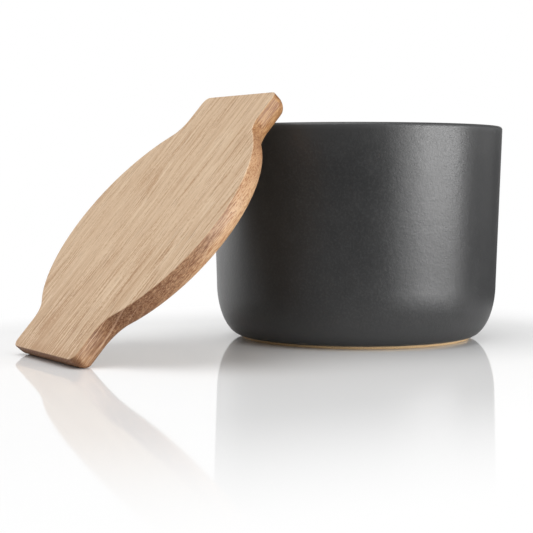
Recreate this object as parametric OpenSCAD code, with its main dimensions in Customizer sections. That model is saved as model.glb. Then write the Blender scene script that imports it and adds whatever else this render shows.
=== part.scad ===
// Round stoneware salt pot with a loose board lid that leans on its rim.
// Millimetres, +Z up. The origin is on the table at the centre of the pot's foot.
// The lid stands on the table on the pot's -X side, and slopes up towards +X.

/* [Pot] */
// Outside diameter at the rim
rim_d = 110; // [100:1:130]
// Height from the table to the rim
pot_h = 80; // [60:1:92]
// Wall thickness at the rim
wall_t = 7.5; // [6:0.5:9]
// How much smaller the outside radius is at the top of the foot curve than at the rim
wall_draft = 1.8; // [0:0.1:4]
// Thickness of the floor
floor_t = 7; // [4:0.5:12]
// Rounding of the rim's outer and inner edge
rim_round = 1.2; // [0.4:0.1:2.6]
// Width of the foot curve, along the radius
foot_curve_w = 9.7; // [4:0.1:14]
// Height of the foot curve
foot_curve_h = 20; // [8:0.5:28]
// Height of the unglazed band under the foot curve
foot_band_h = 1; // [0.6:0.1:3]
// Radius of the corner between the inside wall and the floor
inner_corner_r = 10; // [4:0.5:14]

/* [Lid] */
// Thickness of the board
lid_t = 8.6; // [7:0.1:12]
// How far the disc lies over the rim when the lid is on, measured out from the mouth
mouth_cover = 0.7; // [0.2:0.1:2]
// How far each tab reaches out past the rim when the lid is on
tab_reach = 3; // [1:0.5:8]
// Width of a tab
tab_w = 48; // [36:1:60]
// Radius of a tab's two corners in plan
tab_corner_r = 3; // [1:0.5:8]
// Radius of the hollow curve where a tab runs into the disc
neck_r = 9.5; // [4:0.5:11]
// Rounding of the edge round the underside
under_round = 6; // [2:0.1:6.4]
// Rounding of the edge round the top face
top_round = 0.4; // [0.2:0.1:1]

/* [Lean] */
// How far below the upper end's rounding the lid touches the rim
lean_in = 0.1; // [0:0.1:8]
// How far the lid stands to the side of the pot's axis, towards -Y
lean_offset = 8.8; // [0:0.1:14]
// Clearance between the lid and the rim that it leans on
lid_gap = 0.3; // [0.1:0.1:0.6]

/* [Hidden] */
$fn = 128;

// Steps in a quarter turn of an edge rounding or a plan corner
edge_steps = 8;
// Steps in the small rounding round the lid's top face
top_steps = 3;
// Steps in a quarter of the foot curve, and in one neck or a quarter disc of the lid
foot_steps = 20;
neck_steps = 8;
disc_steps = 14;
// Smallest plan corner, where the underside's rounding has used up a tab's corner
corner_min = 0.4;
right_angle = 90;

// --- Pot ---
rim_r = rim_d / 2;
mouth_r = rim_r - wall_t;
foot_top_z = foot_band_h + foot_curve_h;
foot_top_r = rim_r - wall_draft;
foot_r = foot_top_r - foot_curve_w;
inner_foot_z = floor_t + inner_corner_r;
// The inside wall runs parallel to the outside one
inner_foot_r = mouth_r - wall_draft * (pot_h - inner_foot_z) / (pot_h - foot_top_z);

// --- Lid, lying flat: X runs from tab to tab and the top face is at z = 0 ---
disc_r = mouth_r + mouth_cover;
half_len = rim_r + tab_reach;
half_tab = tab_w / 2;
// Centre of a neck's curve, and the direction in which the curve meets the disc.
// Both hold at every level, because an inset moves disc, neck and tab side alike.
neck_y = half_tab + neck_r;
neck_x = sqrt(pow(disc_r + neck_r, 2) - pow(neck_y, 2));
neck_dir = atan2(neck_y, neck_x);

// --- Lean: the lower tab's rounding stands on the table, the underside meets the rim ---
// Seen along +Y, the line from the centre of that rounding to the centre of the rim's
// rounding runs lean_along up the lid and lean_across below it, and climbs lean_climb.
lean_along = 2 * (half_len - under_round) - lean_in;
lean_across = under_round + lid_gap + rim_round;
lean_climb = pot_h - rim_round - under_round;
slope = asin(lean_climb / norm([lean_along, lean_across])) + atan2(lean_across, lean_along);
stand_x = -(rim_r - rim_round) - lean_along * cos(slope) - lean_across * sin(slope);

// Points on an arc about centre c, from angle a0 to a1, with radii rx and ry.
// With first = 1 it leaves out its first point, which is where the arc before it ends.
function arc(c, rx, ry, a0, a1, steps, first = 0) =
    [for (i = [first:steps]) let (a = a0 + (a1 - a0) * i / steps) c + [rx * cos(a), ry * sin(a)]];

// Section of the pot, to the right of its axis
pot_profile = concat(
    [[0, 0], [foot_r, 0]],
    arc([foot_r, foot_top_z], foot_curve_w, foot_curve_h, -right_angle, 0, foot_steps),
    arc([rim_r - rim_round, pot_h - rim_round], rim_round, rim_round, 0, right_angle, edge_steps),
    arc([mouth_r + rim_round, pot_h - rim_round], rim_round, rim_round,
        right_angle, 2 * right_angle, edge_steps),
    arc([inner_foot_r - inner_corner_r, inner_foot_z], inner_corner_r, inner_corner_r,
        0, -right_angle, edge_steps),
    [[0, floor_t]]
);

module pot() {
    color([0.20, 0.20, 0.21])
        rotate_extrude()
            polygon(pot_profile);
}

// The quarter of the lid's outline between the +X and +Y axes, drawn in by inset
function lid_quarter(inset) =
    let (corner = max(tab_corner_r - inset, corner_min))
    concat(
        arc([half_len - inset - corner, half_tab - inset - corner], corner, corner,
            0, right_angle, edge_steps),
        arc([neck_x, neck_y], neck_r + inset, neck_r + inset,
            -right_angle, neck_dir - 2 * right_angle, neck_steps),
        arc([0, 0], disc_r - inset, disc_r - inset, neck_dir, right_angle, disc_steps, 1)
    );

// The points of a quarter without its last one, in reverse order and mirrored
function mirrored(points, flip) =
    [for (i = [len(points) - 2:-1:0]) [points[i].x * flip.x, points[i].y * flip.y]];

function flipped(points, flip) = [for (p = points) [p.x * flip.x, p.y * flip.y]];

// The whole outline, anticlockwise from the +X end
function lid_outline(inset) =
    let (
        quarter = lid_quarter(inset),
        half = concat(quarter, mirrored(quarter, [-1, 1])),
        other = flipped(half, [-1, -1])
    )
    concat(half, other);

// Depth below the top face, and inset of the outline, down the side of the lid
lid_levels = concat(
    [for (i = [0:top_steps]) let (a = right_angle * i / top_steps)
        [top_round * (1 - cos(a)), top_round * (1 - sin(a))]],
    [for (i = [0:edge_steps]) let (a = right_angle * i / edge_steps)
        [lid_t - under_round * (1 - sin(a)), under_round * (1 - cos(a))]]
);

// A closed skin over outlines of equal length that are stacked from the top down
module skin(rings) {
    count = len(rings[0]);
    last = len(rings) - 1;
    top_face = [for (i = [count - 1:-1:0]) i];
    bottom_face = [for (i = [0:count - 1]) last * count + i];
    side_faces = [for (k = [0:last - 1], i = [0:count - 1]) let (j = (i + 1) % count)
        [k * count + i, k * count + j, (k + 1) * count + j, (k + 1) * count + i]];
    polyhedron(
        points = [for (ring = rings) each ring],
        faces = concat([top_face, bottom_face], side_faces),
        convexity = 4
    );
}

// The lid as it lies flat, with its top face at z = 0
module lid_board() {
    skin([for (level = lid_levels) [for (p = lid_outline(level[1])) [p.x, p.y, -level[0]]]]);
}

module lid() {
    color([0.82, 0.69, 0.55])
        translate([stand_x, -lean_offset, under_round])
            rotate([0, -slope, 0])
                translate([half_len - under_round, 0, lid_t - under_round])
                    lid_board();
}

pot();
lid();
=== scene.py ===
"""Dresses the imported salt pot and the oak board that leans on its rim.

Everything stands in the CAD frame: +Z up, the origin on the table at the centre of the
pot's foot, the board on the pot's -X side.  The pot, the board, their finishes and the
camera are measured in millimetres, as in the part's source, and MM turns these into
Blender's metres.  The lamps, the table top and the room are measured in metres.
"""

import logging
import math
from dataclasses import dataclass
from enum import Enum

import bmesh
import bpy
from mathutils import Matrix, Vector


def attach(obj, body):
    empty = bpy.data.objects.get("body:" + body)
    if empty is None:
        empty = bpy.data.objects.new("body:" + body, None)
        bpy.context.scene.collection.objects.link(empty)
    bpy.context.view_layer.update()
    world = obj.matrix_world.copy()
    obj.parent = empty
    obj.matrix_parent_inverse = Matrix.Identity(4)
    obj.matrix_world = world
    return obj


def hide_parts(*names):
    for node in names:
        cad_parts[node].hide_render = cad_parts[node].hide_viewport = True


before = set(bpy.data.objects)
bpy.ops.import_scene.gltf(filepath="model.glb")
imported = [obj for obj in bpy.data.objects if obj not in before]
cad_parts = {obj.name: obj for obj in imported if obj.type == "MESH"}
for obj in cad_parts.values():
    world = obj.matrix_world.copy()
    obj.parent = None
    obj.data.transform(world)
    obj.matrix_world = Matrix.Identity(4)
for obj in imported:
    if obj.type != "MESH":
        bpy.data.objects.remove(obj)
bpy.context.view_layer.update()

LOG = logging.getLogger("salt_box")
MM = 0.001
RIGHT_ANGLE = math.pi / 2
WHITE = (1.0, 1.0, 1.0, 1.0)

Colour = tuple[float, float, float]
Point2 = tuple[float, float]
Point3 = tuple[float, float, float]
# Where an eased change begins and ends, then its two results where they aren't 0 and 1.
Ease = tuple[float, ...]
Wire = bpy.types.NodeSocket
Number = float | Wire
Pair = tuple[Number, Number]
Inputs = dict[str | int, object]


class Part(Enum):
    """The two CAD nodes, whose names are their bodies' names too."""

    POT = "pot"
    LID = "lid"


class Slot(Enum):
    """The record's material slots."""

    STONEWARE = "stoneware"
    OAK = "oak"


def new_object(name: str, data: bpy.types.ID) -> bpy.types.Object:
    """Stands a new object at the scene's origin.

    Args:
        name: Its name, which its data takes too.
        data: Its mesh, lamp or camera.

    Returns:
        The object.
    """
    data.name = name
    made = bpy.data.objects.new(name, data)
    bpy.context.scene.collection.objects.link(made)
    return made


# --- Nodes ---


@dataclass(frozen=True)
class Pattern:
    """A solid, cloudy pattern: its features' size along each axis, in mm, and its layers.

    The detail is how many finer layers it has, and the roughness how strong each one is.
    """

    size: Point3
    detail: float = 1.0
    roughness: float = 0.5


class Bench:
    """Lays nodes in one tree and wires them, so that a finish reads from top to bottom."""

    NOISE_MEAN = 0.5

    def __init__(self, tree: bpy.types.NodeTree) -> None:
        """Starts on the node tree that the nodes go into."""
        self.tree = tree

    def node(self, kind: str, inputs: Inputs | None = None, **settings: object) -> bpy.types.Node:
        """Adds a node.

        Args:
            kind: Blender's name for the node type.
            inputs: A plain value or another node's output for each input, by name or number.
            settings: The node's own properties.

        Returns:
            The new node.
        """
        made = self.tree.nodes.new(kind)
        for name, value in settings.items():
            setattr(made, name, value)
        for key, value in (inputs or {}).items():
            if isinstance(value, bpy.types.NodeSocket):
                self.tree.links.new(value, made.inputs[key])
            else:
                made.inputs[key].default_value = value
        return made

    def math(self, operation: str, a: Number, b: Number = 0.0, clamp: bool = False) -> Wire:
        """Returns one step of arithmetic, kept between 0 and 1 where clamp says so."""
        made = self.node("ShaderNodeMath", {0: a, 1: b}, operation=operation, use_clamp=clamp)
        return made.outputs[0]

    def add(self, a: Number, b: Number) -> Wire:
        """Returns a + b."""
        return self.math("ADD", a, b)

    def sub(self, a: Number, b: Number) -> Wire:
        """Returns a - b."""
        return self.math("SUBTRACT", a, b)

    def mul(self, a: Number, b: Number) -> Wire:
        """Returns a * b."""
        return self.math("MULTIPLY", a, b)

    def larger(self, a: Number, b: Number) -> Wire:
        """Returns the larger of two numbers."""
        return self.math("MAXIMUM", a, b)

    def swing(self, noise: Wire, amount: Number) -> Wire:
        """Returns how far a noise is from its mean, times an amount."""
        return self.mul(self.sub(noise, self.NOISE_MEAN), amount)

    def vector(self, x: Number = 0.0, y: Number = 0.0, z: Number = 0.0) -> Wire:
        """Returns a vector of three numbers."""
        return self.node("ShaderNodeCombineXYZ", {0: x, 1: y, 2: z}).outputs[0]

    def split(self, vector: Wire) -> tuple[Wire, Wire, Wire]:
        """Returns a vector's three numbers."""
        return tuple(self.node("ShaderNodeSeparateXYZ", {0: vector}).outputs)

    def vectors(
        self, operation: str, a: Wire, b: Wire | Point3 = (0.0, 0.0, 0.0)
    ) -> bpy.types.NodeOutputs:
        """Returns one step of arithmetic with vectors: 0 is a vector, and Value a number."""
        return self.node("ShaderNodeVectorMath", {0: a, 1: b}, operation=operation).outputs

    def ramp(
        self, value: Number, low: float, high: float, start: Number = 0.0, end: Number = 1.0
    ) -> Wire:
        """Turns a number into an eased rise or fall.

        Args:
            value: The number that is read.
            low: Where the change begins.
            high: Where it ends.
            start: The result up to low.
            end: The result from high on.

        Returns:
            The eased result.
        """
        inputs = {"Value": value, 1: low, 2: high, 3: start, 4: end}
        made = self.node("ShaderNodeMapRange", inputs, interpolation_type="SMOOTHSTEP")
        return made.outputs["Result"]

    def noise(self, place: Wire, pattern: Pattern, apart: bool = False) -> Wire:
        """Returns cloudy noise at a place in mm, or three noises in a vector if apart."""
        inputs = {
            "Vector": self.vectors("DIVIDE", place, pattern.size)[0],
            "Scale": 1.0,
            "Detail": pattern.detail,
            "Roughness": pattern.roughness,
        }
        return self.node("ShaderNodeTexNoise", inputs).outputs[1 if apart else 0]

    def cells(self, place: Wire, size: Point3) -> Wire:
        """Returns the distance to the nearest of many scattered points, a size apart."""
        inputs = {"Vector": self.vectors("DIVIDE", place, size)[0], "Scale": 1.0}
        return self.node("ShaderNodeTexVoronoi", inputs).outputs["Distance"]

    def between(self, amount: Number, a: Number, b: Number) -> Wire:
        """Returns a number between two: the first at an amount of 0, the second at 1."""
        return self.node("ShaderNodeMix", {0: amount, 2: a, 3: b}, data_type="FLOAT").outputs[0]

    def blend(self, amount: Number, a: Wire | Colour, b: Wire | Colour, kind: str = "MIX") -> Wire:
        """Mixes two colours.

        Args:
            amount: How much of the second colour shows.
            a: First colour.
            b: Second colour.
            kind: The Mix node's blending.

        Returns:
            The mixed colour.
        """
        pair = [(*c, 1.0) if isinstance(c, tuple) else c for c in (a, b)]
        inputs = {0: amount, 6: pair[0], 7: pair[1]}
        made = self.node("ShaderNodeMix", inputs, data_type="RGBA", blend_type=kind)
        return made.outputs[2]

    def tint(self, amount: Number, colour: Wire, tint: Colour) -> Wire:
        """Returns a colour multiplied by a tint, as far as the amount says."""
        return self.blend(amount, colour, tint, kind="MULTIPLY")

    def bump(self, height: Wire, depth: float, strength: float, under: Wire | None = None) -> Wire:
        """Adds relief.

        Args:
            height: The relief, from 0 to 1.
            depth: What a height of 1 is, in mm.
            strength: How much of it shows.
            under: A coarser relief that this one lies on.

        Returns:
            The bent normal.
        """
        inputs: Inputs = {"Height": height, "Distance": depth * MM, "Strength": strength}
        if under is not None:
            inputs["Normal"] = under
        return self.node("ShaderNodeBump", inputs).outputs[0]

    def dress(self, inputs: Inputs) -> None:
        """Ends a material with its shader and the output."""
        shader = self.node("ShaderNodeBsdfPrincipled", inputs)
        self.node("ShaderNodeOutputMaterial", {"Surface": shader.outputs[0]})


def new_material(name: str) -> tuple[bpy.types.Material, Bench]:
    """Starts a material.

    Args:
        name: The finish, in plain words.

    Returns:
        The material, and a bench on its empty tree.
    """
    material = bpy.data.materials.new(name)
    material.use_nodes = True
    material.node_tree.nodes.clear()
    return material, Bench(material.node_tree)


# --- Finishes ---


@dataclass(frozen=True)
class CharcoalGlaze:
    """A satin charcoal glaze that stops just above the table, over bare buff clay.

    Heights are counted from the table.  The glaze is thinner, and so lighter, in specks and
    clouds.  Round the foot it is lighter from thinner glaze and a painted reflection of the
    table, and towards the rim from thinner glaze and painted light.  A narrow band just under
    the rim is a painted highlight.
    """

    glaze: Colour = (0.0162, 0.0166, 0.0172)
    glaze_thin_and_lit: Colour = (0.0275, 0.0278, 0.0282)
    painted_rim_highlight: Colour = (0.0425, 0.0436, 0.0448)
    clay: Colour = (0.56, 0.40, 0.215)
    clay_dark: Colour = (0.34, 0.21, 0.115)
    speckle: Pattern = Pattern((0.8, 0.8, 0.8), 2.5, 0.6)
    cloud: Pattern = Pattern((9.0, 9.0, 9.0), 3.0)
    peel: Pattern = Pattern((3.2, 3.2, 3.2), 1.5)
    clay_grit: Pattern = Pattern((0.3, 0.3, 0.3), 3.0, 0.7)
    line_wander: Pattern = Pattern((2.4, 2.4, 2.4), 2.0)
    pit_spacing: Point3 = (2.6, 2.6, 2.6)
    pit_wall: Ease = (0.05, 0.13)
    thin_in_speckle: Ease = (0.42, 0.72, 0.0, 0.7)
    thin_in_cloud: Ease = (0.45, 0.75, 0.0, 0.3)
    thin_and_lit_at_foot: Ease = (3.0, 16.0, 1.0, 0.0)
    thin_and_lit_at_top: Ease = (62.0, 79.0, 0.0, 0.8)
    rim_highlight_below: Ease = (77.0, 79.2)
    rim_highlight_above: Ease = (79.2, 79.6, 1.0, 0.4)
    clay_mottle: Ease = (0.35, 0.8)
    glaze_end: Ease = (0.89, 0.97, 1.0, 0.0)
    line_wave: float = 0.22
    specular: float = 0.5
    roughness: float = 0.37
    speckle_roughness: float = 0.16
    cloud_roughness: float = 0.06
    clay_roughness: float = 0.85
    pit_share: float = 0.4
    peel_relief: Point2 = (0.09, 0.5)
    fine_relief: Point2 = (0.05, 0.8)

    def material(self) -> bpy.types.Material:
        """Lays the glaze over the clay.

        Returns:
            The glaze and the clay as one material.
        """
        material, bench = new_material("charcoal_glaze")
        place = bench.node("ShaderNodeTexCoord").outputs["Object"]
        place = bench.vectors("DIVIDE", place, (MM, MM, MM))[0]
        height = bench.split(place)[2]
        speckle = bench.noise(place, self.speckle)
        cloud = bench.noise(place, self.cloud)

        # Thinner, lighter glaze in specks and clouds.  Round the foot the lightening is also a
        # painted reflection of the table, and towards the rim it is also painted light.
        thin_and_lit = bench.ramp(speckle, *self.thin_in_speckle)
        thin_and_lit = bench.add(thin_and_lit, bench.ramp(cloud, *self.thin_in_cloud))
        thin_and_lit = bench.add(thin_and_lit, bench.ramp(height, *self.thin_and_lit_at_foot))
        thin_and_lit = bench.math("ADD", thin_and_lit, bench.ramp(height, *self.thin_and_lit_at_top), clamp=True)
        glaze = bench.blend(thin_and_lit, self.glaze, self.glaze_thin_and_lit)
        # Painted highlight: a lighter band just under the rim, which fades on the rim's rounding.
        rim = bench.mul(
            bench.ramp(height, *self.rim_highlight_below), bench.ramp(height, *self.rim_highlight_above)
        )
        glaze = bench.blend(rim, glaze, self.painted_rim_highlight)

        mottle = bench.ramp(bench.noise(place, self.clay_grit), *self.clay_mottle)
        clay = bench.blend(mottle, self.clay, self.clay_dark)
        line = bench.add(height, bench.swing(bench.noise(place, self.line_wander), self.line_wave))
        bare = bench.ramp(line, *self.glaze_end)

        gloss = bench.add(self.roughness, bench.swing(speckle, self.speckle_roughness))
        gloss = bench.add(gloss, bench.swing(cloud, self.cloud_roughness))
        pits = bench.ramp(bench.cells(place, self.pit_spacing), *self.pit_wall)
        relief = bench.bump(bench.noise(place, self.peel), *self.peel_relief)
        fine = bench.add(speckle, bench.mul(pits, self.pit_share))
        bench.dress(
            {
                "Base Color": bench.blend(bare, glaze, clay),
                "Roughness": bench.between(bare, gloss, self.clay_roughness),
                "Normal": bench.bump(fine, *self.fine_relief, under=relief),
                "Specular IOR Level": self.specular,
            }
        )
        return material


@dataclass(frozen=True)
class Spot:
    """A place on the board, seen in the ways that the oak's patterns need.

    Along is counted from the board's middle towards its upper end, and height up from its
    face.  Wood is the place as it grew, and grain is that place along the trunk, out from
    its heart and round it, all in mm.  Turn is how far through its year the ring is.
    """

    along: Wire
    height: Wire
    wood: Wire
    grain: Wire
    turn: Wire


@dataclass(frozen=True)
class PlanedFace:
    """The oak's colours on its planed face, calm in places and lively in others."""

    pale: Colour = (0.656, 0.48, 0.32)
    tan: Colour = (0.44, 0.264, 0.144)
    light_streak: Colour = (0.75, 0.58, 0.41)
    streaks: Pattern = Pattern((30.0, 0.8, 5.0))
    stripes: Pattern = Pattern((45.0, 1.5, 9.0), detail=0.0)
    bands: Pattern = Pattern((85.0, 5.0, 14.0))
    gleams: Pattern = Pattern((15.0, 0.3, 2.0), detail=0.0)
    lines: Pattern = Pattern((26.0, 0.3, 2.0), detail=0.0)
    grit: Pattern = Pattern((1.0, 0.36, 0.9), roughness=0.6)
    calm: Pattern = Pattern((45.0, 5.0, 8.0))
    calm_edge: Ease = (0.45, 0.6)
    lively_along: Ease = (-45.0, 25.0, 4.2, 2.6)
    late_wood: Ease = (0.25, 0.95)
    early_wood: Ease = (0.0, 0.08, 1.0, 0.0)
    tone: float = 0.2
    tone_lower_half: Ease = (-62.0, -8.0, 0.42, 0.0)
    tone_lower_end: Ease = (-58.0, -53.0, 0.35, 0.0)
    ring_tone: float = 0.04
    stripe_tone: float = 0.7
    band_tone: float = 0.1
    line_tone: Ease = (0.66, 0.72, 0.0, 0.7)
    rough_least: float = 0.6
    rough_lively: float = 0.45
    gleam_edge: Ease = (0.64, 0.71, 0.0, 0.7)

    def colour(self, bench: Bench, spot: Spot, fibre: Wire) -> Wire:
        """Colours the wood as its planed face shows it.

        Args:
            bench: Where the nodes go.
            spot: The place on the board.
            fibre: The fine streaks.

        Returns:
            The colour.
        """
        most = bench.ramp(spot.along, *self.lively_along)
        lively = bench.ramp(bench.noise(spot.grain, self.calm), *self.calm_edge, 0.0, most)
        rough = bench.add(self.rough_least, bench.mul(lively, self.rough_lively))
        dark_ring = bench.larger(
            bench.ramp(spot.turn, *self.late_wood), bench.ramp(spot.turn, *self.early_wood)
        )
        tone = bench.add(self.tone, bench.ramp(spot.along, *self.tone_lower_half))
        tone = bench.add(tone, bench.ramp(spot.along, *self.tone_lower_end))
        tone = bench.add(tone, bench.mul(dark_ring, self.ring_tone))
        tone = bench.add(tone, bench.swing(fibre, lively))
        for pattern, amount in (
            (self.grit, rough),
            (self.streaks, rough),
            (self.stripes, self.stripe_tone),
            (self.bands, self.band_tone),
        ):
            tone = bench.add(tone, bench.swing(bench.noise(spot.grain, pattern), amount))
        lines = bench.ramp(bench.noise(spot.grain, self.lines), *self.line_tone)
        colour = bench.blend(bench.math("ADD", tone, lines, clamp=True), self.pale, self.tan)
        gleam = bench.ramp(bench.noise(spot.grain, self.gleams), *self.gleam_edge)
        return bench.blend(gleam, colour, self.light_streak)


@dataclass(frozen=True)
class SawnEdge:
    """The oak's sawn edge: redder than the face, with tear-out and painted shade below a slanting
    line.
    """

    side_tint: Colour = (0.805, 0.715, 0.61)
    dash_tint: Colour = (0.68, 0.52, 0.4)
    shaded_tear_tint: Colour = (0.44, 0.33, 0.27)
    upper_tint: Colour = (0.79, 0.66, 0.45)
    seam: Colour = (0.7, 0.5, 0.34)
    dashes: Pattern = Pattern((4.5, 0.4, 0.7), 1.5, 0.6)
    stipple: Pattern = Pattern((2.2, 0.33, 0.7), 2.0, 0.65)
    dash_edge: Ease = (0.48, 0.64)
    stipple_edge: Ease = (0.38, 0.62, 0.45, 1.0)
    shaded_tear_along: float = 12.0
    shaded_tear_slant: float = 0.2
    shaded_tear_edge: Ease = (-2.6, 2.6)
    shaded_tear_lower: Ease = (-60.0, -46.0, 0.3, 1.0)
    shaded_tear_least: Ease = (26.0, 50.0, 0.1, 0.3)
    upper_along: Ease = (26.0, 48.0, 0.0, 0.8)
    seam_turn: Ease = (0.03, 0.14, 0.4, 0.0)
    seam_along: Ease = (-36.0, -30.0, 1.0, 0.0)

    def colour(self, bench: Bench, spot: Spot, side: Wire, face: Wire) -> Wire:
        """Colours the edge, and leaves the face as it is.

        Args:
            bench: Where the nodes go.
            spot: The place on the board.
            side: How much the place is on the edge.
            face: The face's colour.

        Returns:
            The colour.
        """
        colour = bench.tint(side, face, self.side_tint)
        dash = bench.ramp(bench.noise(spot.grain, self.dashes), *self.dash_edge)
        colour = bench.tint(bench.mul(dash, side), colour, self.dash_tint)
        # Painted shade: a dark stipple, as tear-out grain, below a slanting line that takes in
        # more of the edge towards the lower end.
        slant = bench.mul(bench.sub(self.shaded_tear_along, spot.along), self.shaded_tear_slant)
        shaded_tear = bench.ramp(bench.add(spot.height, slant), *self.shaded_tear_edge)
        shaded_tear = bench.mul(shaded_tear, bench.ramp(spot.along, *self.shaded_tear_lower))
        shaded_tear = bench.larger(shaded_tear, bench.ramp(spot.along, *self.shaded_tear_least))
        stipple = bench.ramp(bench.noise(spot.grain, self.stipple), *self.stipple_edge)
        colour = bench.tint(bench.mul(bench.mul(shaded_tear, stipple), side), colour, self.shaded_tear_tint)
        upper = bench.mul(bench.ramp(spot.along, *self.upper_along), side)
        colour = bench.tint(upper, colour, self.upper_tint)
        seam = bench.mul(bench.ramp(spot.turn, *self.seam_turn), side)
        seam = bench.mul(seam, bench.ramp(spot.along, *self.seam_along))
        return bench.blend(bench.mul(seam, shaded_tear), colour, self.seam)


@dataclass(frozen=True)
class Pores:
    """The oak's vessels: dashes along the fibres, dots on the end grain."""

    vessel_spacing: Point3 = (7.0, 0.8, 0.8)
    vessel_wall: Ease = (0.12, 0.28, 0.8, 0.0)
    vessels_always: float = 0.3
    vessels_early: float = 0.6
    early_wood: Ease = (0.12, 0.42, 1.0, 0.0)
    fine: Pattern = Pattern((4.0, 0.33, 0.33))
    fine_edge: Ease = (0.62, 0.74, 0.0, 0.4)
    long: Pattern = Pattern((14.0, 0.38, 0.38), roughness=0.4)
    long_edge: Ease = (0.67, 0.71)
    patches: Pattern = Pattern((34.0, 6.0, 6.0), detail=0.0)
    patch_edge: Ease = (0.44, 0.56)

    def opened(self, bench: Bench, spot: Spot) -> Wire:
        """Scatters the pores.

        Args:
            bench: Where the nodes go.
            spot: The place on the board.

        Returns:
            How much of a pore is cut open there.
        """
        early = bench.ramp(spot.turn, *self.early_wood)
        vessels = bench.ramp(bench.cells(spot.wood, self.vessel_spacing), *self.vessel_wall)
        share = bench.add(self.vessels_always, bench.mul(early, self.vessels_early))
        vessels = bench.mul(vessels, share)
        fine = bench.ramp(bench.noise(spot.wood, self.fine), *self.fine_edge)
        patch = bench.ramp(bench.noise(spot.wood, self.patches), *self.patch_edge)
        long = bench.ramp(bench.noise(spot.wood, self.long), *self.long_edge)
        return bench.larger(bench.larger(vessels, fine), bench.mul(long, patch))


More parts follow.
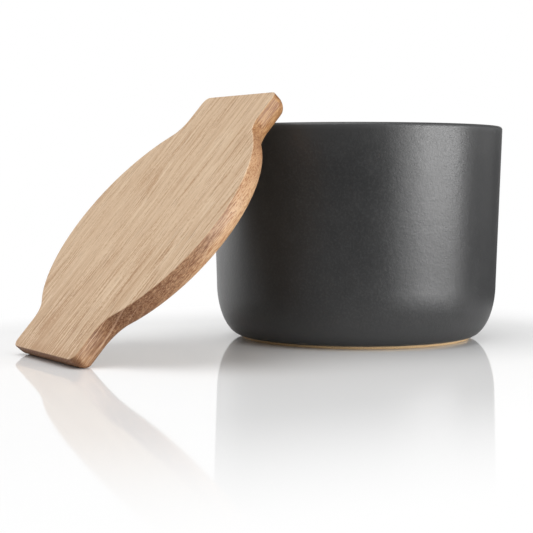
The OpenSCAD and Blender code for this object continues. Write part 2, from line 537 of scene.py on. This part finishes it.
@dataclass(frozen=True)
class OiledOak:
    """Pale oiled oak, cut so that the year rings stand steeply to the board's face.

    The pattern is solid: it is laid out in the board's own axes, x along the fibres,
    y across the face and z up out of it, so the face, the edges and the end grain all
    cut the same rings and pores.
    """

    origin: Point3
    slope: float
    thickness: float
    face: PlanedFace = PlanedFace()
    edge: SawnEdge = SawnEdge()
    pores: Pores = Pores()
    pore: Colour = (0.19, 0.095, 0.05)
    end_tint: Colour = (0.84, 0.77, 0.73)
    painted_tip_shade: Colour = (0.66, 0.6, 0.53)
    painted_underside_shade: Colour = (0.6, 0.64, 0.7)
    heart: Point2 = (-110.0, -150.0)
    heart_depth: float = 186.0
    ring_width: float = 3.1
    years: Pattern = Pattern((7.0, 1.0, 1.0))
    year_spread: float = 5.0
    lazy: Pattern = Pattern((120.0, 34.0, 34.0))
    sway: Point3 = (0.0, 5.5, 5.5)
    fibres: Pattern = Pattern((20.0, 0.33, 2.2), roughness=0.6)
    face_edge: Ease = (-0.34, -0.04, 1.0, 0.0)
    under_edge: Ease = (0.05, 0.9, 1.0, 0.0)
    end_facing: Ease = (0.18, 0.8)
    tip_along: Ease = (51.0, 55.0)
    tip_height: Ease = (-4.6, -3.0)
    pore_dark: float = 0.6
    pore_dark_side: float = 0.25
    specular: float = 0.42
    roughness: float = 0.47
    pore_roughness: float = 0.2
    fibre_roughness: float = 0.2
    end_roughness: float = 0.14
    fibre_relief: float = 0.6
    pore_relief: float = 0.8
    relief: Point2 = (0.07, 0.45)

    def material(self) -> bpy.types.Material:
        """Makes the wood, with its light and dark places.

        Returns:
            The material.
        """
        material, bench = new_material("oiled_oak")
        coordinates = bench.node("ShaderNodeTexCoord").outputs
        axes = {"Location": self.origin, "Rotation": (0.0, -self.slope, 0.0)}
        axes |= {"Vector": coordinates["Object"], "Scale": (MM, MM, MM)}
        board = bench.node("ShaderNodeMapping", axes, vector_type="TEXTURE").outputs[0]
        spot = self._spot(bench, board)
        side, end, under = self._cut(bench, spot.height, coordinates["Normal"])
        fibre = bench.noise(spot.grain, self.fibres)
        pores = self.pores.opened(bench, spot)

        colour = self.face.colour(bench, spot, fibre)
        colour = self.edge.colour(bench, spot, side, colour)
        colour = bench.tint(end, colour, self.end_tint)
        # Painted shade: the end grain at the board's two tips is darker near the face.
        tip = bench.ramp(bench.math("ABSOLUTE", spot.along), *self.tip_along)
        tip = bench.mul(bench.mul(end, tip), bench.ramp(spot.height, *self.tip_height))
        colour = bench.tint(tip, colour, self.painted_tip_shade)
        # Painted shade: the underside is darker and cooler.
        colour = bench.tint(under, colour, self.painted_underside_shade)
        dark = bench.add(self.pore_dark, bench.mul(side, self.pore_dark_side))
        colour = bench.blend(bench.mul(pores, dark), colour, self.pore)

        rough = bench.add(self.roughness, bench.mul(pores, self.pore_roughness))
        rough = bench.add(rough, bench.swing(fibre, self.fibre_roughness))
        rough = bench.add(rough, bench.mul(end, self.end_roughness))
        height = bench.mul(fibre, self.fibre_relief)
        height = bench.sub(height, bench.mul(pores, self.pore_relief))
        normal = bench.bump(height, *self.relief)
        inputs = {"Base Color": colour, "Roughness": rough, "Normal": normal}
        bench.dress({**inputs, "Specular IOR Level": self.specular})
        return material

    def _spot(self, bench: Bench, board: Wire) -> Spot:
        """Bends the straight grain a little, and lays the year rings round the tree's heart.

        Args:
            bench: Where the nodes go.
            board: The place in the board's axes.

        Returns:
            The place in every way that the patterns need.
        """
        along, _, height = bench.split(board)
        mean = (bench.NOISE_MEAN,) * 3
        sway = bench.vectors("SUBTRACT", bench.noise(board, self.lazy, apart=True), mean)
        sway = bench.vectors("MULTIPLY", sway[0], self.sway)
        wood = bench.vectors("ADD", board, sway[0])[0]

        trunk, across, up = bench.split(wood)
        across = bench.sub(across, self.heart[0])
        up = bench.sub(up, self.heart[1])
        radius = bench.vectors("LENGTH", bench.vector(0.0, across, up))["Value"]
        round_it = bench.mul(bench.math("ARCTAN2", up, across), self.heart_depth)
        grain = bench.vector(trunk, radius, round_it)
        years = bench.noise(bench.vector(radius), self.years)
        radius = bench.add(radius, bench.mul(years, self.year_spread))
        turn = bench.math("FRACT", bench.math("DIVIDE", radius, self.ring_width))
        return Spot(along, height, wood, grain, turn)

    def _cut(self, bench: Bench, height: Wire, normal: Wire) -> tuple[Wire, Wire, Wire]:
        """Tells the planed faces, the edge and the end grain apart.

        Args:
            bench: Where the nodes go.
            height: The height over the board's face.
            normal: The surface's direction.

        Returns:
            How much the place is on the edge, how much it is end grain, and how much it is
            on the underside.
        """
        below = bench.ramp(height, *self.face_edge)
        low, high, *results = self.under_edge
        under = bench.ramp(height, low - self.thickness, high - self.thickness, *results)
        side = bench.mul(below, bench.sub(1.0, under))
        fibres = (math.cos(self.slope), 0.0, math.sin(self.slope))
        facing = bench.vectors("DOT_PRODUCT", normal, fibres)["Value"]
        end = bench.ramp(bench.math("ABSOLUTE", facing), *self.end_facing)
        return side, bench.mul(end, side), under


@dataclass(frozen=True)
class RoomGloss:
    """How bright the room is in gloss: white at the low backdrop, dim elsewhere."""

    backdrop: Point3
    backdrop_edge: Ease = (0.45, 0.75)
    backdrop_top: Ease = (0.22, 0.42, 1.0, 0.0)
    overhead: Ease = (0.3, 0.6, 0.15, 0.35)

    def strength(self, bench: Bench, direction: Wire) -> Wire:
        """Grades the room by direction.

        Args:
            bench: Where the nodes go.
            direction: Where a mirrored ray goes, as a unit vector.

        Returns:
            The room's brightness there, where 1 is white.
        """
        facing = bench.vectors("DOT_PRODUCT", direction, self.backdrop)["Value"]
        climb = bench.split(direction)[2]
        low = bench.ramp(climb, *self.backdrop_top)
        shown = bench.mul(bench.ramp(facing, *self.backdrop_edge), low)
        return bench.larger(shown, bench.ramp(climb, *self.overhead))


@dataclass(frozen=True)
class GlossyTable:
    """A white table top that mirrors what stands on it faintly, and fades into the room."""

    white: Colour = (0.83, 0.83, 0.83)
    mirror: float = 0.88
    mirror_ior: float = 1.25
    mirror_roughness: float = 0.05
    near_left: Point2 = (-0.225, -0.09)
    far_right: Point2 = (0.055, 0.056)
    front_ease: float = 0.55
    fade: Ease = (0.02, 0.085)

    def material(self, room: RoomGloss) -> bpy.types.Material:
        """Makes the table top's finish.

        Args:
            room: What the far table looks like in gloss.

        Returns:
            The material.
        """
        material, bench = new_material("glossy_table")
        matt = bench.node("ShaderNodeBsdfDiffuse", {"Color": (*self.white, 1.0)})
        gloss = bench.node(
            "ShaderNodeBsdfAnisotropic", {"Color": WHITE, "Roughness": self.mirror_roughness}
        )
        fresnel = bench.node("ShaderNodeFresnel", {"IOR": self.mirror_ior}).outputs[0]
        table = self._mix(bench, bench.mul(fresnel, self.mirror), matt, gloss)
        place = bench.node("ShaderNodeTexCoord").outputs["Object"]
        outward = bench.vectors("NORMALIZE", place)[0]
        rays = bench.node("ShaderNodeLightPath").outputs
        strength = bench.larger(room.strength(bench, outward), rays["Is Camera Ray"])
        glow = bench.node("ShaderNodeEmission", {"Color": WHITE, "Strength": strength})
        far = bench.ramp(self._clear_of(bench, place), *self.fade)
        seen = bench.larger(rays["Is Camera Ray"], rays["Is Glossy Ray"])
        faded = self._mix(bench, bench.mul(far, seen), table, glow)
        bench.node("ShaderNodeOutputMaterial", {"Surface": faded.outputs[0]})
        return material

    def _mix(
        self, bench: Bench, share: Wire, first: bpy.types.Node, second: bpy.types.Node
    ) -> bpy.types.Node:
        """Returns a mix of two shaders, of which the second has the share."""
        inputs = {0: share, 1: first.outputs[0], 2: second.outputs[0]}
        return bench.node("ShaderNodeMixShader", inputs)

    def _clear_of(self, bench: Bench, place: Wire) -> Wire:
        """Measures how far a place is from the ground that the pot and the lid stand over.

        Args:
            bench: Where the nodes go.
            place: The place on the table, in metres.

        Returns:
            The distance, in metres, which grows more slowly towards the front.
        """
        x, y, _ = bench.split(place)
        left, right = bench.sub(self.near_left[0], x), bench.sub(x, self.far_right[0])
        back = bench.sub(y, self.far_right[1])
        front = bench.mul(bench.sub(self.near_left[1], y), self.front_ease)
        over_x = bench.larger(bench.larger(left, right), 0.0)
        over_y = bench.larger(bench.larger(back, front), 0.0)
        return bench.vectors("LENGTH", bench.vector(over_x, over_y))["Value"]


# --- The pot ---


class ProfileBench(Bench):
    """Draws a turned profile as points in the XZ plane, one stretch after another."""

    PLACE = "place"
    MOST_IN_A_STRETCH = 1000.0
    WELD = 0.002 * MM

    def __init__(self, tree: bpy.types.NodeTree) -> None:
        """Starts on a Geometry Nodes tree."""
        super().__init__(tree)
        self.stretches: list[Wire] = []

    def _keep(self, points: Wire) -> None:
        """Keeps a stretch, with its points numbered for sorting.

        Args:
            points: The stretch.
        """
        index = self.node("GeometryNodeInputIndex").outputs[0]
        number = self.add(index, len(self.stretches) * self.MOST_IN_A_STRETCH)
        inputs = {"Geometry": points, "Name": self.PLACE, "Value": number}
        self.stretches.append(self.node("GeometryNodeStoreNamedAttribute", inputs).outputs[0])

    def arc(self, centre: Pair, radii: Pair, start: float, steps: int) -> None:
        """Draws a quarter of a circle or an ellipse, anticlockwise.

        Args:
            centre: Its centre, as radius from the pot's axis and height.
            radii: Its two half widths.
            start: The angle at which it starts.
            steps: How many steps it has.
        """
        turn = {"Start Angle": start, "Sweep Angle": RIGHT_ANGLE}
        curve = self.node("GeometryNodeCurveArc", {"Resolution": steps + 1, "Radius": 1.0, **turn})
        place = {
            "Geometry": curve.outputs[0],
            "Translation": self.vector(centre[0], 0.0, centre[1]),
            "Rotation": (RIGHT_ANGLE, 0.0, 0.0),
            "Scale": self.vector(radii[0], radii[1], 1.0),
        }
        inputs = {"Curve": self.node("GeometryNodeTransform", place).outputs[0]}
        self._keep(self.node("GeometryNodeCurveToPoints", inputs, mode="EVALUATED").outputs[0])

    def line(self, start: Pair, end: Pair, count: int) -> None:
        """Draws a straight stretch.

        Args:
            start: Its first point, as radius and height.
            end: Its last point.
            count: How many points it has.
        """
        ends = {
            "Start": self.vector(start[0], 0.0, start[1]),
            "End": self.vector(end[0], 0.0, end[1]),
        }
        curve = self.node("GeometryNodeCurvePrimitiveLine", ends).outputs[0]
        inputs = {"Curve": curve, "Count": count}
        self._keep(self.node("GeometryNodeCurveToPoints", inputs, mode="COUNT").outputs[0])

    def profile(self) -> Wire:
        """Joins the stretches.

        Returns:
            All their points in order.
        """
        joined = self.node("GeometryNodeJoinGeometry")
        for stretch in self.stretches:
            self.tree.links.new(stretch, joined.inputs[0])
        place = self.node("GeometryNodeInputNamedAttribute", {"Name": self.PLACE}).outputs[0]
        inputs = {"Geometry": joined.outputs[0], "Sort Weight": place}
        return self.node("GeometryNodeSortElements", inputs).outputs[0]

    def turned(self, profile: Wire, columns: Wire) -> Wire:
        """Turns the profile round the Z axis, with its seam and its poles closed.

        Args:
            profile: The profile's points in order.
            columns: How many steps one turn has.

        Returns:
            The turned mesh.
        """
        counted = self.node(
            "GeometryNodeAttributeDomainSize", {"Geometry": profile}, component="POINTCLOUD"
        ).outputs["Point Count"]
        side = 1.0
        size = {"Size X": side, "Size Y": side}
        knots = {"Vertices X": self.add(columns, 1.0), "Vertices Y": counted}
        sheet = self.node("GeometryNodeMeshGrid", {**size, **knots}).outputs[0]
        place = self.node("GeometryNodeInputPosition").outputs[0]
        x, y, _ = self.split(place)
        angle = self.mul(self.add(x, side / 2), math.tau)
        row = self.math("ROUND", self.mul(self.add(y, side / 2), self.sub(counted, 1.0)))
        picked = {"Geometry": profile, "Value": place, "Index": row}
        sampled = self.node("GeometryNodeSampleIndex", picked, data_type="FLOAT_VECTOR").outputs[0]
        swung = self.node(
            "ShaderNodeVectorRotate", {"Vector": sampled, "Angle": angle}, rotation_type="Z_AXIS"
        ).outputs[0]
        moved = self.node("GeometryNodeSetPosition", {"Geometry": sheet, "Position": swung})
        return self.node(
            "GeometryNodeMergeByDistance", {"Geometry": moved.outputs[0], "Distance": self.WELD}
        ).outputs[0]


@dataclass
class SaltPot:
    """The stoneware pot, turned in one piece, with a bare clay foot under its glaze."""

    rim_radius: float = 55.0
    height: float = 80.0
    wall: float = 7.5
    draft: float = 1.8
    floor: float = 7.0
    rim_round: float = 1.2
    foot_curve_width: float = 9.7
    foot_curve_height: float = 20.0
    foot_band: float = 1.0
    inner_corner: float = 10.0
    glaze_step: float = 0.22
    foot_bevel: float = 0.25
    columns: int = 192
    flat_points: int = 8
    band_points: int = 3
    wall_points: int = 20
    foot_steps: int = 32
    rim_steps: int = 12
    corner_steps: int = 14
    crease: float = 42.0
    finish: CharcoalGlaze = CharcoalGlaze()

    def sizes(self) -> dict[str, float]:
        """Returns the tree's named sizes, in metres."""
        names = "rim_radius height wall draft floor rim_round foot_curve_width foot_curve_height"
        names += " foot_band inner_corner glaze_step foot_bevel"
        return {name: getattr(self, name) * MM for name in names.split()}

    def tree(self) -> bpy.types.NodeTree:
        """Builds the Geometry Nodes tree that turns the pot from its sizes.

        Returns:
            The tree.
        """
        tree = bpy.data.node_groups.new("turned_pot", "GeometryNodeTree")
        face = tree.interface
        kinds = {name: "Float" for name in self.sizes()} | {"Columns": "Int", "Finish": "Material"}
        for name, kind in kinds.items():
            face.new_socket(name, in_out="INPUT", socket_type="NodeSocket" + kind)
        face.new_socket("Geometry", in_out="OUTPUT", socket_type="NodeSocketGeometry")
        bench = ProfileBench(tree)
        given = bench.node("NodeGroupInput").outputs
        self._draw(bench, given)
        turned = bench.turned(bench.profile(), given["Columns"])
        smooth = bench.node("GeometryNodeSetShadeSmooth", {"Geometry": turned})
        real = bench.node("GeometryNodeRealizeInstances", {"Geometry": smooth.outputs[0]})
        dressed = bench.node(
            "GeometryNodeSetMaterial", {"Geometry": real.outputs[0], "Material": given["Finish"]}
        )
        bench.node("NodeGroupOutput", {0: dressed.outputs[0]})
        return tree

    def _draw(self, bench: ProfileBench, given: bpy.types.NodeOutputs) -> None:
        """Draws the profile from the middle of the base, round the rim, to the inside.

        Args:
            bench: Where the profile is drawn.
            given: The tree's named sizes.
        """
        rim_r, height, draft = given["rim_radius"], given["height"], given["draft"]
        curve_w, curve_h = given["foot_curve_width"], given["foot_curve_height"]
        band, bevel, step = given["foot_band"], given["foot_bevel"], given["glaze_step"]
        rounding, corner, floor = given["rim_round"], given["inner_corner"], given["floor"]
        mouth_r = bench.sub(rim_r, given["wall"])
        foot_top_z = bench.add(band, curve_h)
        foot_top_r = bench.sub(rim_r, draft)
        foot_r = bench.sub(foot_top_r, curve_w)
        clay_r = bench.sub(foot_r, step)
        inner_foot_z = bench.add(floor, corner)
        lean = bench.math("DIVIDE", bench.sub(height, inner_foot_z), bench.sub(height, foot_top_z))
        inner_foot_r = bench.sub(mouth_r, bench.mul(draft, lean))
        rim_z = bench.sub(height, rounding)

        outer_rim, inner_rim = bench.sub(rim_r, rounding), bench.add(mouth_r, rounding)
        floor_r, downward = bench.sub(inner_foot_r, corner), bench.mul(corner, -1.0)
        bench.line((0.0, 0.0), (bench.sub(clay_r, bevel), 0.0), self.flat_points)
        bench.line((clay_r, bevel), (clay_r, bench.sub(band, step)), self.band_points)
        bench.arc((foot_r, foot_top_z), (curve_w, curve_h), -RIGHT_ANGLE, self.foot_steps)
        bench.line((foot_top_r, foot_top_z), (rim_r, rim_z), self.wall_points)
        bench.arc((outer_rim, rim_z), (rounding, rounding), 0.0, self.rim_steps)
        bench.arc((inner_rim, rim_z), (rounding, rounding), RIGHT_ANGLE, self.rim_steps)
        bench.line((mouth_r, rim_z), (inner_foot_r, inner_foot_z), self.wall_points)
        bench.arc((floor_r, inner_foot_z), (corner, downward), 0.0, self.corner_steps)
        bench.line((floor_r, floor), (0.0, floor), self.flat_points)

    def build(self) -> bpy.types.Object:
        """Turns the pot.

        Returns:
            The pot as a plain mesh that rides on its body.
        """
        blank = new_object("pot_blank", bpy.data.meshes.new("pot_blank"))
        turning = blank.modifiers.new("turning", "NODES")
        turning.node_group = self.tree()
        values: dict[str, object] = {**self.sizes(), "Columns": self.columns}
        values["Finish"] = self.finish.material()
        for item in turning.node_group.interface.items_tree:
            if item.in_out == "INPUT":
                turning[item.identifier] = values[item.name]
        blank.update_tag()
        ready = blank.evaluated_get(bpy.context.evaluated_depsgraph_get())
        mesh = bpy.data.meshes.new_from_object(ready)
        blank.modifiers.clear()
        bpy.data.objects.remove(blank)
        mesh.set_sharp_from_angle(angle=math.radians(self.crease))
        piece = new_object("pot_turned", mesh)
        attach(piece, Part.POT.value)
        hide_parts(Part.POT.value)
        return piece


# --- The lid ---


def arc(centre: Point2, radius: float, start: float, end: float, steps: int) -> list[Point2]:
    """Returns the points of an arc, between two angles and both of them included."""
    angles = [start + (end - start) * step / steps for step in range(steps + 1)]
    return [(centre[0] + radius * math.cos(a), centre[1] + radius * math.sin(a)) for a in angles]


@dataclass
class BoardLid:
    """The oak lid: a disc with a tab at each end, sawn from one board.

    It stands on its lower tab's rounding, and leans on the pot's rim.
    """

    pot: SaltPot
    thickness: float = 8.6
    mouth_cover: float = 0.7
    tab_reach: float = 3.0
    tab_width: float = 48.0
    tab_corner: float = 3.0
    neck: float = 9.5
    under_round: float = 6.0
    top_round: float = 0.4
    corner_least: float = 0.4
    lean_in: float = 0.1
    lean_offset: float = 8.8
    gap: float = 0.3
    flat_ring: float = 0.15
    side_rows: tuple[float, ...] = (0.15, 0.5)
    corner_steps: int = 12
    neck_steps: int = 16
    disc_steps: int = 28
    top_steps: int = 5
    under_steps: int = 16

    @property
    def disc_radius(self) -> float:
        """The disc's radius, just over the pot's mouth."""
        return self.pot.rim_radius - self.pot.wall + self.mouth_cover

    @property
    def half_length(self) -> float:
        """Half the length from tab to tab."""
        return self.pot.rim_radius + self.tab_reach

    @property
    def slope(self) -> float:
        """How steeply the board leans, in radians."""
        along, across, climb = self._lean()
        return math.asin(climb / math.hypot(along, across)) + math.atan2(across, along)

    def _lean(self) -> Point3:
        """Measures the lean.

        Returns:
            Where the rim's rounding is from the lower end's: along, across and up.
        """
        along = 2 * (self.half_length - self.under_round) - self.lean_in
        across = self.under_round + self.gap + self.pot.rim_round
        return along, across, self.pot.height - self.pot.rim_round - self.under_round

    def place(self) -> Matrix:
        """Leans the board on the rim.

        Returns:
            Where the board's middle is, and how it is turned, in mm.
        """
        along, across, _ = self._lean()
        slope = self.slope
        stand_x = -(self.pot.rim_radius - self.pot.rim_round)
        stand_x -= along * math.cos(slope) + across * math.sin(slope)
        stand = Matrix.Translation((stand_x, -self.lean_offset, self.under_round))
        turn = Matrix.Rotation(-slope, 4, "Y")
        reach = (self.half_length - self.under_round, 0.0, self.thickness - self.under_round)
        return stand @ turn @ Matrix.Translation(reach)

    def outline(self, inset: float) -> list[Point2]:
        """Draws the board's outline, anticlockwise from its upper end.

        Args:
            inset: How far the outline is drawn in.

        Returns:
            The outline's points.
        """
        corner = max(self.tab_corner - inset, self.corner_least)
        half_tab = self.tab_width / 2
        neck_y = half_tab + self.neck
        neck_x = math.sqrt((self.disc_radius + self.neck) ** 2 - neck_y**2)
        meet = math.atan2(neck_y, neck_x)
        middle = (self.half_length - inset - corner, half_tab - inset - corner)
        hollow, disc = self.neck + inset, self.disc_radius - inset
        quarter = arc(middle, corner, 0.0, RIGHT_ANGLE, self.corner_steps)
        quarter += arc((neck_x, neck_y), hollow, -RIGHT_ANGLE, meet - math.pi, self.neck_steps)
        quarter += arc((0.0, 0.0), disc, meet, RIGHT_ANGLE, self.disc_steps)[1:]
        half = quarter + [(-x, y) for x, y in reversed(quarter[:-1])]
        return half + [(-x, -y) for x, y in half]

    def levels(self) -> list[Point2]:
        """Steps down the side of the board.

        Returns:
            The depth and the inset of each outline.
        """
        top, under = self.top_round, self.under_round
        below = self.thickness - under
        levels = [(0.0, top + self.flat_ring)]
        levels += arc((top, top), top, math.pi, math.pi + RIGHT_ANGLE, self.top_steps)
        levels += [(top + (below - top) * part, 0.0) for part in self.side_rows]
        levels += arc((below, under), under, -RIGHT_ANGLE, 0.0, self.under_steps)
        levels.append((self.thickness, under + self.flat_ring))
        return levels

    def build(self) -> bpy.types.Object:
        """Saws the board, and leans it on the pot.

        Returns:
            The board as a plain mesh that rides on its body.
        """
        mesh = bpy.data.meshes.new("lid_board")
        made = bmesh.new()
        rings = [
            [made.verts.new((x, y, -depth)) for x, y in self.outline(inset)]
            for depth, inset in self.levels()
        ]
        for upper, lower in zip(rings, rings[1:]):
            for i, corner in enumerate(upper):
                j = (i + 1) % len(upper)
                made.faces.new((corner, lower[i], lower[j], upper[j]))
        caps = [made.faces.new(rings[0]), made.faces.new(reversed(rings[-1]))]
        bmesh.ops.recalc_face_normals(made, faces=made.faces)
        for each in made.faces:
            each.smooth = True
        bmesh.ops.triangulate(made, faces=caps)
        made.transform(Matrix.Scale(MM, 4) @ self.place())
        made.to_mesh(mesh)
        made.free()
        origin = self.place().translation * MM
        finish = OiledOak(origin=tuple(origin), slope=self.slope, thickness=self.thickness)
        mesh.materials.append(finish.material())
        piece = new_object("lid_board", mesh)
        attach(piece, Part.LID.value)
        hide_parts(Part.LID.value)
        return piece


# --- The studio ---


@dataclass(frozen=True)
class PhotoCamera:
    """The camera, at the photograph's viewing angle."""

    place: Point3 = (-321.69, -440.83, 61.04)
    heading: float = 32.528
    pitch: float = 3.612
    roll: float = 0.134
    lens: float = 95.987
    sensor: float = 36.0
    nearest: float = 0.01
    farthest: float = 50.0

    def build(self) -> None:
        """Sets up the scene's camera."""
        data = bpy.data.cameras.new("photo_camera")
        data.lens = self.lens
        data.sensor_width = self.sensor
        data.clip_start = self.nearest
        data.clip_end = self.farthest
        camera = new_object("photo_camera", data)
        camera.matrix_world = (
            Matrix.Translation(Vector(self.place) * MM)
            @ Matrix.Rotation(-math.radians(self.heading), 4, "Z")
            @ Matrix.Rotation(math.radians(90.0 - self.pitch), 4, "X")
            @ Matrix.Rotation(math.radians(self.roll), 4, "Z")
        )
        bpy.context.scene.camera = camera

    def to_the_right(self, degrees: float) -> Vector:
        """Returns the level direction so far to the camera's right, seen from the pot."""
        angle = math.radians(self.heading - degrees)
        return Vector((-math.sin(angle), -math.cos(angle), 0.0))


@dataclass(frozen=True)
class Softbox:
    """A soft lamp that looks at the pot.

    Its azimuth is in degrees to the right of the camera, its lengths are in metres, and
    its glow is the brightness of its face, where 1 is white.
    """

    name: str
    azimuth: float
    distance: float
    height: float
    width: float
    tall: float
    glow: float
    aim: float = 0.04

    def build(self, camera: PhotoCamera) -> None:
        """Hangs the lamp.

        Args:
            camera: The camera that its azimuth is counted from.
        """
        data = bpy.data.lights.new(self.name, "AREA")
        data.shape = "RECTANGLE"
        data.size = self.width
        data.size_y = self.tall
        data.energy = self.glow * math.pi * self.width * self.tall
        lamp = new_object(self.name, data)
        spot = camera.to_the_right(self.azimuth) * self.distance
        spot.z = self.height
        lamp.location = spot
        away = spot - Vector((0.0, 0.0, self.aim))
        lamp.rotation_euler = away.to_track_quat("Z", "Y").to_euler()
        lamp.visible_camera = False


@dataclass(frozen=True)
class Studio:
    """A white table in a white room, with soft lamps and the camera."""

    camera: PhotoCamera
    room_light: float = 0.33
    backdrop_azimuth: float = -150.0
    table_half: float = 4.0
    table: GlossyTable = GlossyTable()
    lamps: tuple[Softbox, ...] = (
        Softbox("key_softbox", 63.5, 0.62, 0.062, 0.39, 0.13, 14.8),
        Softbox("side_softbox", 40.5, 0.62, 0.065, 0.28, 0.13, 8.6),
        Softbox("back_softbox", 112.0, 0.62, 0.08, 0.3, 0.16, 0.55),
        Softbox("left_softbox", -125.0, 0.62, 0.08, 0.3, 0.16, 1.5),
        Softbox("far_left_softbox", -62.0, 0.62, 0.33, 0.45, 0.22, 1.1),
        Softbox("upper_softbox", 58.0, 0.62, 0.42, 0.6, 0.4, 1.4),
        Softbox("overhead_softbox", -55.0, 0.42, 1.25, 1.3, 1.3, 2.58),
    )

    @property
    def room(self) -> RoomGloss:
        """What the room looks like in gloss."""
        return RoomGloss(backdrop=tuple(self.camera.to_the_right(self.backdrop_azimuth)))

    def build(self) -> None:
        """Sets up the camera, the room, the table and the lamps."""
        self.camera.build()
        self._white_room()
        self._table_top()
        for lamp in self.lamps:
            lamp.build(self.camera)
            LOG.info("lamp %s", lamp.name)
        bpy.context.scene.view_settings.view_transform = "Standard"

    def _white_room(self) -> None:
        """Makes the room white to the eye, and softer as a light."""
        world = bpy.data.worlds.new("white_room")
        bpy.context.scene.world = world
        world.use_nodes = True
        world.node_tree.nodes.clear()
        world.cycles.sampling_method = "NONE"
        bench = Bench(world.node_tree)
        rays = bench.node("ShaderNodeLightPath").outputs
        gloss = bench.larger(rays["Is Glossy Ray"], rays["Is Transmission Ray"])
        gaze = bench.node("ShaderNodeTexCoord").outputs["Generated"]
        strength = bench.between(gloss, self.room_light, self.room.strength(bench, gaze))
        strength = bench.larger(strength, rays["Is Camera Ray"])
        back = bench.node("ShaderNodeBackground", {"Color": WHITE, "Strength": strength})
        bench.node("ShaderNodeOutputWorld", {"Surface": back.outputs[0]})

    def _table_top(self) -> None:
        """Lays the table top at the height of the pot's foot."""
        half = self.table_half
        corners = [(-half, -half, 0.0), (half, -half, 0.0), (half, half, 0.0), (-half, half, 0.0)]
        mesh = bpy.data.meshes.new("table_top")
        mesh.from_pydata(corners, [], [(0, 1, 2, 3)])
        mesh.materials.append(self.table.material(self.room))
        new_object("table_top", mesh)


def main() -> None:
    """Builds the pot, the lid and the studio."""
    logging.basicConfig(level=logging.INFO, format="%(name)s: %(message)s")
    pot = SaltPot()
    for assembly in (pot, BoardLid(pot)):
        piece = assembly.build()
        LOG.info("piece %s: %d faces", piece.name, len(piece.data.polygons))
    Studio(PhotoCamera()).build()


if __name__ == "__main__":
    main()
